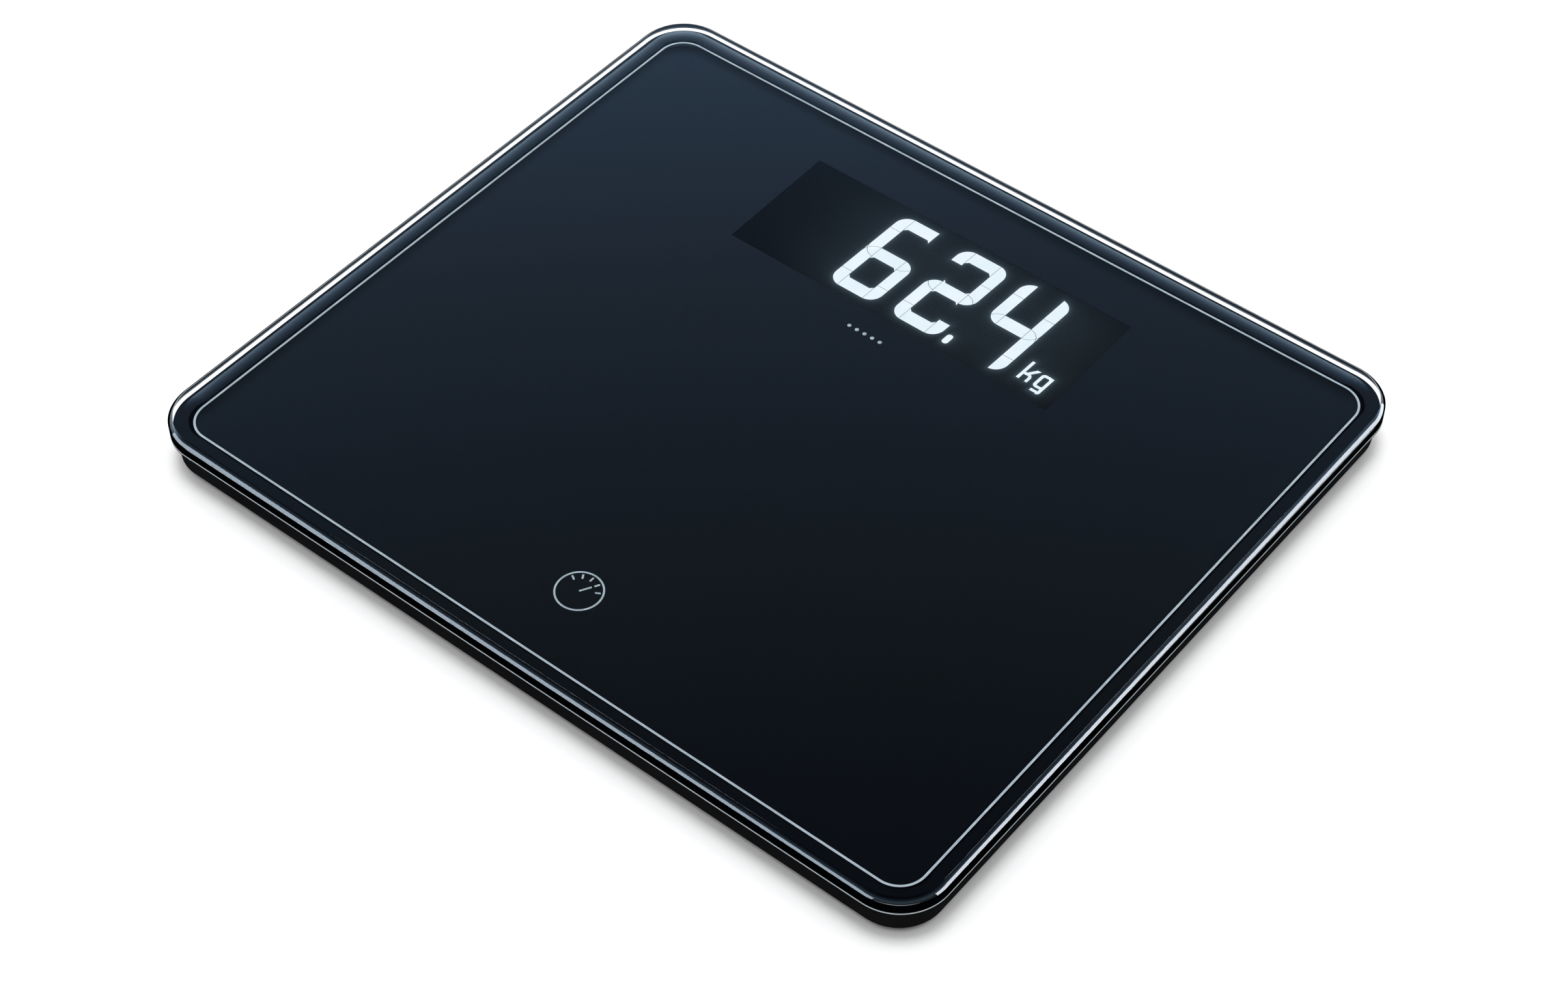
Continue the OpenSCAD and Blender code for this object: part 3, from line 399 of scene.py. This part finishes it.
MATERIALS = {
    "safety_glass": polished_glass("safety_glass", GLASS_INDEX),
    "bevel_glass": polished_glass("bevel_glass", BEVEL_INDEX),
    "ground_glass": ground_glass(),
    "clear_face": clear_face(),
    "back_ink": back_ink(),
    "ink_border": matt_ink("ink_border", (0.0006, 0.0009, 0.0013), (0.0012, 0.0018, 0.0026),
        gloss=0.0),
    "line_ink": matt_ink("line_ink", (0.62, 0.68, 0.70), (0.70, 0.76, 0.77), 0.4, 0.3),
    "display_glass": display_glass(),
    "lit_segments": lit_segment(),
    "base_plastic": moulded_plastic("base_plastic", (0.006, 0.006, 0.0064), (0.008, 0.008, 0.0085),
        0.55, gloss=0.05),
    "button_plastic": moulded_plastic("button_plastic", (0.12, 0.125, 0.13), (0.16, 0.165, 0.17),
        0.42, 900),
    "foot_rubber": rubber(),
    "foam": foam(),
    "label": label_film(),
    "white_plastic": moulded_plastic("white_plastic", (0.72, 0.73, 0.72), (0.80, 0.81, 0.80), 0.4),
    "ivory_plastic": moulded_plastic("ivory_plastic", (0.64, 0.58, 0.42), (0.72, 0.66, 0.50), 0.4),
    "clear_plastic": light_guide_plastic(),
    "lamp": lamp_resin(),
    "plated_steel": metal("plated_steel", (0.46, 0.47, 0.48), (0.60, 0.61, 0.62), 0.32),
    "cell_steel": metal("cell_steel", (0.56, 0.56, 0.55), (0.68, 0.68, 0.66), 0.22, (900, 900, 60)),
    "contact_metal": metal("contact_metal", (0.58, 0.44, 0.20), (0.76, 0.62, 0.34), 0.28),
    "ribbon_film": banded("ribbon_film", (0.38, 0.15, 0.02), (0.60, 0.33, 0.10), 160, 0.3),
    "board": banded("board", (0.012, 0.10, 0.04), (0.02, 0.17, 0.07), 90, 0.35, "Y"),
    "black_resin": moulded_plastic("black_resin", (0.010, 0.010, 0.010), (0.02, 0.02, 0.02), 0.3,
        700),
    "ceramic": moulded_plastic("ceramic", (0.30, 0.22, 0.12), (0.42, 0.32, 0.19), 0.5, 1800),
    "wire_sleeve": moulded_plastic("wire_sleeve", (0.34, 0.02, 0.015), (0.46, 0.035, 0.03), 0.4,
        900),
}


# ---------- glass and its printing ----------

BEVEL_R = 5.05 * MM
BEVEL_LOW, BEVEL_HIGH = 30, 60  # degrees, the bevel's normal at its lower and upper crease
BEVEL_STEPS, CREASE_STEPS, SHEEN_STEPS, CORNER_STEPS = 14, 8, 14, 40
CREASE_R = 0.35 * MM  # polish rounds off the upper crease
SEAM = 0.3 * MM  # fine chamfer on the lower edge
SEAM_TILT = math.radians(-45)
FROSTED_HIGHLIGHT_LOW, FROSTED_HIGHLIGHT_HIGH = 0.75 * MM, 1.45 * MM  # ground band round the side, above the lower edge; its pale grey is a painted highlight line
SHEEN_OUT, SHEEN_IN = 5.4 * MM, 8.95 * MM  # border of the top where polishing left a faint roll
SHEEN_OUT_SLIDE, SHEEN_IN_SLIDE = 1.2 * MM, 4.0 * MM  # it lies further in at the rear and left
SHEEN_LEAN = 11.6  # degrees, the roll's steepest lean
SHEEN_FALL = 1.6  # how sharply the lean falls off inward
SAFETY, FROSTED_HIGHLIGHT, CLEAR, BEVEL = range(4)  # the slab's material slots


def glass_profile():
    """The platform's edge, from the underside round the seam, side and bevel to the top."""
    top, bottom = GLASS_HIGH.z, GLASS_LOW.z
    low, high = math.radians(BEVEL_LOW), math.radians(BEVEL_HIGH)
    dip = CREASE_R * (1 - math.sin(high))
    centre_inset = BEVEL_R * math.cos(low)
    centre_z = top - dip - BEVEL_R * math.sin(high)
    bevel = arc(centre_inset, centre_z, BEVEL_R, BEVEL_LOW, BEVEL_HIGH, BEVEL_STEPS)
    end_inset = bevel[-1][0]
    crease = arc(end_inset + CREASE_R * math.cos(high), top - CREASE_R, CREASE_R, BEVEL_HIGH, 90,
        CREASE_STEPS)
    side_top = bevel[0][1]
    sheen = []
    for k in range(SHEEN_STEPS + 1):
        t = k / SHEEN_STEPS
        sheen.append((
            SHEEN_OUT + (SHEEN_IN - SHEEN_OUT) * t,
            top,
            math.pi / 2 - math.radians(SHEEN_LEAN) * (1 - t) ** SHEEN_FALL,
            SHEEN_OUT_SLIDE + (SHEEN_IN_SLIDE - SHEEN_OUT_SLIDE) * t,
        ))
    return [
        (SAFETY, [(SEAM, bottom, SEAM_TILT), (0, bottom + SEAM, SEAM_TILT)]),
        (SAFETY, [(0, bottom + SEAM, 0), (0, bottom + FROSTED_HIGHLIGHT_LOW, 0)]),
        # pale ground band round the side: a painted highlight line along the lower edge
        (FROSTED_HIGHLIGHT, [(0, bottom + FROSTED_HIGHLIGHT_LOW, 0), (0, bottom + FROSTED_HIGHLIGHT_HIGH, 0)]),
        (SAFETY, [(0, bottom + FROSTED_HIGHLIGHT_HIGH, 0), (0, side_top, 0)]),
        (BEVEL, bevel),
        (BEVEL, crease),
        (SAFETY, [crease[-1], (SHEEN_OUT, top, math.pi / 2, SHEEN_OUT_SLIDE)]),
        (SAFETY, sheen),
    ]


def build_glass():
    """The slab, with its flat faces clear and its side, bevel and border polished."""
    swept_plate("glass_slab", glass_profile(), HALF_W, HALF_D, CORNER_R, CORNER_STEPS,
        # ground_glass is the pale band whose grey paints in the lower edge's highlight line
        [MATERIALS["safety_glass"], MATERIALS["ground_glass"], MATERIALS["clear_face"],
         MATERIALS["bevel_glass"]],
        caps=(CLEAR, CLEAR), slot="safety_glass", stands_for=("glass_platform",))


INK_BITE = 0.05 * MM  # the ink reaches this far into the glass, so that they are in contact
PRINT_INSET = 1.6 * MM  # the print starts this far in from the glass's edge
LINE_W = 0.85 * MM
PRINT_STEPS = 24  # per corner


def flat_ring(name, outer, inner, z_low, z_high, material, **kw):
    """Flat ring between two loops of the same count."""
    count = len(outer)
    verts = []
    for loop, z in ((outer, z_low), (inner, z_low), (outer, z_high), (inner, z_high)):
        verts.extend((x, y, z) for x, y, _ in loop)
    faces = []
    for k in range(count):
        n = (k + 1) % count
        faces.append((k, count + k, count + n, n))
        faces.append((2 * count + k, 2 * count + n, 3 * count + n, 3 * count + k))
        faces.append((k, n, 2 * count + n, 2 * count + k))
        faces.append((count + k, 3 * count + k, 3 * count + n, count + n))
    return piece(name, verts, faces, material, **kw)


def print_loop(inset):
    return rounded_loop(HALF_W, HALF_D, CORNER_R, inset, PRINT_STEPS)


def build_print():
    """Matt border, pale line, glossy field and the printed marks."""
    line_inset = HALF_W - LINE_HIGH.x
    low, high = PRINT_LOW.z, PRINT_HIGH.z + INK_BITE
    flat_ring("ink_border", print_loop(PRINT_INSET), print_loop(line_inset), low, high,
        MATERIALS["ink_border"], slot="back_ink")
    flat_ring("edge_line", print_loop(line_inset), print_loop(line_inset + LINE_W), low, high,
        MATERIALS["line_ink"], slot="line_ink", stands_for=("border_line",))
    build_field(line_inset + LINE_W, low, high)
    build_motif(high)


WINDOW_X, WINDOW_Y = 1.3 * MM, 89.4 * MM  # middle of the display's window
WINDOW_W, WINDOW_D = 149 * MM, 55 * MM
WINDOW = [(WINDOW_X + sx * WINDOW_W / 2, WINDOW_Y + sy * WINDOW_D / 2)
          for sx, sy in ((1, 1), (-1, 1), (-1, -1), (1, -1))]


def build_field(inset, low, high):
    """The print inside the line, with the display's window left clear."""
    outer = print_loop(inset)
    verts, faces = [], []
    steps = PRINT_STEPS + 1
    for z in (low, high):
        verts.extend((x, y, z) for x, y, _ in outer)
        verts.extend((x, y, z) for x, y in WINDOW)
    count = len(outer)
    total = count + 4
    for level in (0, 1):
        base = level * total
        polys = []
        for q in range(4):
            arc_points = [base + q * steps + k for k in range(steps)]
            polys += [(arc_points[k], arc_points[k + 1], base + count + q)
                      for k in range(steps - 1)]
            n = (q + 1) % 4
            polys.append((arc_points[-1], base + n * steps, base + count + n, base + count + q))
        faces += polys if level else [tuple(reversed(p)) for p in polys]
    for k in range(count):
        n = (k + 1) % count
        faces.append((k, n, total + n, total + k))
    for q in range(4):
        n = (q + 1) % 4
        a, b = count + q, count + n
        faces.append((b, a, total + a, total + b))
    piece("ink_field", verts, faces, MATERIALS["back_ink"], slot="back_ink",
        stands_for=("back_print",))


MOTIF_PROUD = 0.01 * MM  # the marks reach this far into the glass past the field
DIAL_FROM_FRONT = 40 * MM
DIAL_R, DIAL_BORE, DIAL_STEPS = 9 * MM, 8.3 * MM, 72
STROKE_W = 0.7 * MM
TICKS = (-60, -30, 0, 30, 60)  # degrees
TICK_IN, TICK_OUT = 5.6 * MM, 7.6 * MM
POINTER_TURN, POINTER_LENGTH = -30, 4.6 * MM
DOT_R, DOT_PITCH, DOT_STEPS = 0.8 * MM, 3.6 * MM, 24
DOTS_BELOW_WINDOW = 10.4 * MM


def build_motif(ink_top):
    """Plain dial with a pointer near the front edge, and a row of dots under the window."""
    verts, faces = [], []
    low, high = PRINT_LOW.z, ink_top + MOTIF_PROUD
    centre = Vector((0, -HALF_D + DIAL_FROM_FRONT))

    def prism(points):
        first = len(verts)
        n = len(points)
        verts.extend((p[0], p[1], low) for p in points)
        verts.extend((p[0], p[1], high) for p in points)
        faces.append(tuple(first + k for k in reversed(range(n))))
        faces.append(tuple(first + n + k for k in range(n)))
        for k in range(n):
            m = (k + 1) % n
            faces.append((first + k, first + m, first + n + m, first + n + k))

    def bar(angle, inner, outer):
        along = Vector((-math.sin(angle), math.cos(angle)))
        across = Vector((along.y, -along.x)) * STROKE_W / 2
        a, b = centre + along * inner, centre + along * outer
        prism([a + across, b + across, b - across, a - across])

    for k in range(DIAL_STEPS):
        t0, t1 = math.tau * k / DIAL_STEPS, math.tau * (k + 1) / DIAL_STEPS
        ring = [(DIAL_BORE, t0), (DIAL_R, t0), (DIAL_R, t1), (DIAL_BORE, t1)]
        prism([centre + Vector((r * math.cos(t), r * math.sin(t))) for r, t in ring])
    for degrees in TICKS:
        bar(math.radians(degrees), TICK_IN, TICK_OUT)
    bar(math.radians(POINTER_TURN), 0, POINTER_LENGTH)
    for i in range(-2, 3):
        dot = Vector((i * DOT_PITCH, WINDOW_Y - WINDOW_D / 2 - DOTS_BELOW_WINDOW))
        prism([dot + Vector((DOT_R * math.cos(t), DOT_R * math.sin(t)))
               for t in (math.tau * k / DOT_STEPS for k in range(DOT_STEPS))])
    piece("motif_print", verts, faces, MATERIALS["line_ink"], slot="line_ink",
        stands_for=("front_motif",))


# ---------- display ----------

OUTLINE_STEP = 0.5 * MM
PANEL_COLUMNS, PANEL_ROWS = 220, 86
GLOW_WIDE = 0.019  # strength of the wide glow behind the reading
GLOW_INSIDE_LEFT, GLOW_INSIDE_RIGHT, GLOW_INSIDE_Y = 8 * MM, 14 * MM, 12 * MM
GLOW_FALL_X, GLOW_FALL_Y = 26 * MM, 20 * MM
GLOW_HALO = ((0.08, 0.7 * MM), (0.014, 3 * MM))  # strength beside a segment, and its fall


def lit_outline():
    """Search tree of points close together along the outlines of the lit segments."""
    mesh = NODES["lcd_segments"].data
    world = NODES["lcd_segments"].matrix_world
    points = []
    for edge in mesh.edges:
        a, b = (world @ mesh.vertices[i].co for i in edge.vertices)
        steps = max(1, round((b - a).length / OUTLINE_STEP))
        points += [a.lerp(b, k / steps) for k in range(steps)]
    tree = kdtree.KDTree(len(points))
    for i, point in enumerate(points):
        tree.insert((point.x, point.y, 0), i)
    tree.balance()
    return tree


def glow_at(x, y, outline):
    """The backlight's glow on the panel: wide behind the reading, and close to the segments."""
    dx = max(LIT_LOW.x + GLOW_INSIDE_LEFT - x, 0, x - LIT_HIGH.x + GLOW_INSIDE_RIGHT) / GLOW_FALL_X
    dy = max(LIT_LOW.y + GLOW_INSIDE_Y - y, 0, y - LIT_HIGH.y + GLOW_INSIDE_Y) / GLOW_FALL_Y
    near = outline.find((x, y, 0))[2]
    halo = sum(strength * math.exp(-near / fall) for strength, fall in GLOW_HALO)
    return GLOW_WIDE * math.exp(-(dx * dx + dy * dy)) + halo


def build_display():
    """The panel, with a fine face that carries the backlight's glow."""
    nx, ny = PANEL_COLUMNS, PANEL_ROWS
    outline = lit_outline()
    verts, faces, glow = [], [], []
    for j in range(ny + 1):
        for i in range(nx + 1):
            x = PANEL_LOW.x + (PANEL_HIGH.x - PANEL_LOW.x) * i / nx
            y = PANEL_LOW.y + (PANEL_HIGH.y - PANEL_LOW.y) * j / ny
            verts.append((x, y, PANEL_HIGH.z))
            glow.append(glow_at(x, y, outline))
    for j in range(ny):
        for i in range(nx):
            a = j * (nx + 1) + i
            faces.append((a, a + 1, a + nx + 2, a + nx + 1))
    rim = list(range(nx + 1)) + [j * (nx + 1) + nx for j in range(1, ny + 1)] \
        + [ny * (nx + 1) + i for i in range(nx - 1, -1, -1)] \
        + [j * (nx + 1) for j in range(ny - 1, 0, -1)]
    below = len(verts)
    verts.extend((verts[i][0], verts[i][1], PANEL_LOW.z) for i in rim)
    glow += [0.0] * len(rim)
    for k in range(len(rim)):
        m = (k + 1) % len(rim)
        faces.append((rim[k], below + k, below + m, rim[m]))
    faces.append(tuple(below + k for k in reversed(range(len(rim)))))
    panel = piece("panel", verts, faces, MATERIALS["display_glass"], slot="display_glass",
        stands_for=("lcd_panel",))
    attribute = panel.data.attributes.new("glow", "FLOAT", "POINT")
    attribute.data.foreach_set("value", glow)


# ---------- finish of the CAD nodes ----------

def finish_cad():
    """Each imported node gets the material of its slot."""
    for part in frame["record"]["subparts"]:
        obj = NODES[part["node"]]
        obj.data.materials.clear()
        obj.data.materials.append(MATERIALS[part["material_slot"]])


# ---------- camera, light and floor ----------

VIEW_AZ, VIEW_EL = 38.82, 47.98  # degrees round from the front, and above level
VIEW_DIST = 1113.96 * MM
VIEW_RIGHT, VIEW_UP = 2.13 * MM, -32.85 * MM
LENS, SENSOR = 70.117, 36


def towards(azimuth, elevation):
    """Unit direction, in degrees round from the front towards the right and above level."""
    a, e = math.radians(azimuth), math.radians(elevation)
    return Vector((math.sin(a) * math.cos(e), -math.cos(a) * math.cos(e), math.sin(e)))


def build_camera():
    """The photograph's camera, solved from the printed line and the outlines."""
    back = towards(VIEW_AZ, VIEW_EL)
    right = (-back).cross(Vector((0, 0, 1))).normalized()
    up = right.cross(-back)
    camera = bpy.data.objects.new("camera", bpy.data.cameras.new("camera"))
    camera.data.lens = LENS
    camera.data.sensor_width = SENSOR
    camera.data.clip_start = 0.01
    camera.location = Vector((0, 0, GLASS_HIGH.z)) + back * VIEW_DIST + right * VIEW_RIGHT \
        + up * VIEW_UP
    camera.rotation_mode = "QUATERNION"
    camera.rotation_quaternion = (-back).to_track_quat("-Z", "Y")
    SCENE.collection.objects.link(camera)
    SCENE.camera = camera


FLOOR_R, FLOOR_SIDES = 30.0, 64


def build_floor():
    """Pale floor, seen through from below and left out of reflections."""
    material, nodes, shader = new_material("studio_floor")
    put(nodes, shader, Base_Color=(0.9, 0.9, 0.9, 1), Roughness=0.9, Specular_IOR_Level=0.0)
    see_through = nodes.add("ShaderNodeBsdfTransparent")
    side = nodes.add("ShaderNodeNewGeometry").outputs["Backfacing"]
    both = nodes.add("ShaderNodeMixShader")
    nodes.tree.links.new(side, both.inputs["Fac"])
    nodes.tree.links.new(shader.outputs["BSDF"], both.inputs[1])
    nodes.tree.links.new(see_through.outputs["BSDF"], both.inputs[2])
    out = next(n for n in nodes.tree.nodes if n.type == "OUTPUT_MATERIAL")
    nodes.tree.links.new(both.outputs["Shader"], out.inputs["Surface"])
    mesh = bpy.data.meshes.new("floor")
    angles = [math.tau * k / FLOOR_SIDES for k in range(FLOOR_SIDES)]
    rim = [(FLOOR_R * math.cos(a), FLOOR_R * math.sin(a), 0) for a in angles]
    mesh.from_pydata(rim, [], [tuple(range(FLOOR_SIDES))])
    floor = bpy.data.objects.new("floor", mesh)
    SCENE.collection.objects.link(floor)
    floor.data.materials.append(material)
    floor.visible_glossy = False
    floor.visible_shadow = False


SKY = [  # height in degrees, and colour
    (0.1, (0.92, 1.0, 1.08)),
    (14, (0.92, 1.05, 1.2)),
    (19, (1.7, 2.4, 3.1)),
    (22, (1.7, 2.4, 3.1)),
    (34, (0.62, 0.94, 1.42)),
    (40.7, (0.295, 0.490, 0.770)),
    (43.7, (0.215, 0.320, 0.490)),
    (46.7, (0.145, 0.222, 0.335)),
    (49.7, (0.115, 0.164, 0.215)),
    (54, (0.064, 0.085, 0.124)),
    (66, (0.030, 0.040, 0.058)),
]
SKY_FLOOR = -0.01  # height of direction where the sky has faded to black
SKY_BEHIND, SKY_AHEAD = 0.12, 1.0  # strength on the photographer's side, and opposite
SKY_TURN = 0.55  # the full strength is reached where the direction is this far ahead


def build_world():
    """Soft dome: bright and bluish near the horizon, falling to dark overhead."""
    world = bpy.data.worlds.new("studio")
    SCENE.world = world
    world.use_nodes = True
    tree = world.node_tree
    tree.nodes.clear()
    nodes = Nodes(tree)
    direction = nodes.add("ShaderNodeTexCoord").outputs["Generated"]
    height = nodes.add("ShaderNodeSeparateXYZ", {"Vector": direction}).outputs["Z"]
    level = nodes.span(height, SKY_FLOOR, 1, 0, 1)
    stops = [((math.sin(math.radians(degrees)) - SKY_FLOOR) / (1 - SKY_FLOOR), colour)
             for degrees, colour in SKY]
    sky = nodes.ramp(level, [(0.0, (0, 0, 0))] + stops)
    away = nodes.add("ShaderNodeVectorMath", {
        0: direction, 1: -towards(VIEW_AZ, 0)}, operation="DOT_PRODUCT")
    strength = nodes.span(away.outputs["Value"], 0.0, SKY_TURN, SKY_BEHIND, SKY_AHEAD)
    background = nodes.add("ShaderNodeBackground", {"Color": sky, "Strength": strength})
    out = nodes.add("ShaderNodeOutputWorld")
    tree.links.new(background.outputs["Background"], out.inputs["Surface"])
    world.cycles_visibility.diffuse = False


# What each light does: light surfaces directly, show in reflections, or shine in through glass.
# With one job each, no light shows in the glass as a disc from any side.
SURFACES, REFLECTIONS, PRINT = ("diffuse",), ("glossy", "transmission"), ("transmission",)
# name: azimuth and elevation, strength, angle across in degrees, jobs
SUNS = {
    "key_light": (228, 86.5, 1.15, 18, SURFACES),
    "fill_light": (218.8, 80, 3.2, 110, SURFACES),
    "print_light": (38.8, 64, 3.0, 24, PRINT),
}
# name: place and size in metres, power, colour, jobs
PANELS = {
    "strip_right": ((1.35, 0.95, 0.25), (2.2, 0.66), 25, (0.84, 0.91, 1), REFLECTIONS),
    "strip_front": ((-0.85, -1.5, 0.27), (2.2, 0.70), 16, (0.70, 0.84, 1), REFLECTIONS),
    "crease_rear": ((0.06, 0.74, 1.2), (0.4, 0.4), 1.3, (0.85, 0.92, 1), REFLECTIONS),
    "crease_left": ((-0.60, 0.05, 1.25), (0.4, 0.4), 1.0, (0.85, 0.92, 1), REFLECTIONS),
    "under_light": ((0, 0, -1.2), (1.6, 1.6), 40, (1, 1, 1), SURFACES),
}


def place_light(light, back, jobs):
    """A light that shines from the direction back towards the middle of the scene."""
    obj = bpy.data.objects.new(light.name, light)
    obj.rotation_euler = (-back).to_track_quat("-Z", "Y").to_euler()
    obj.visible_diffuse = "diffuse" in jobs
    obj.visible_glossy = "glossy" in jobs
    obj.visible_transmission = "transmission" in jobs
    SCENE.collection.objects.link(obj)
    return obj


def build_lights():
    for name, (azimuth, elevation, strength, angle, jobs) in SUNS.items():
        light = bpy.data.lights.new(name, "SUN")
        light.energy = strength
        light.angle = math.radians(angle)
        place_light(light, towards(azimuth, elevation), jobs)
    for name, (place, size, power, colour, jobs) in PANELS.items():
        light = bpy.data.lights.new(name, "AREA")
        light.color = colour
        light.shape = "RECTANGLE"
        light.size, light.size_y = size
        light.energy = power
        place_light(light, Vector(place), jobs).location = place


build_camera()
build_world()
build_lights()
build_floor()
finish_cad()
build_glass()
build_print()
build_display()
SCENE.view_settings.view_transform = "Standard"
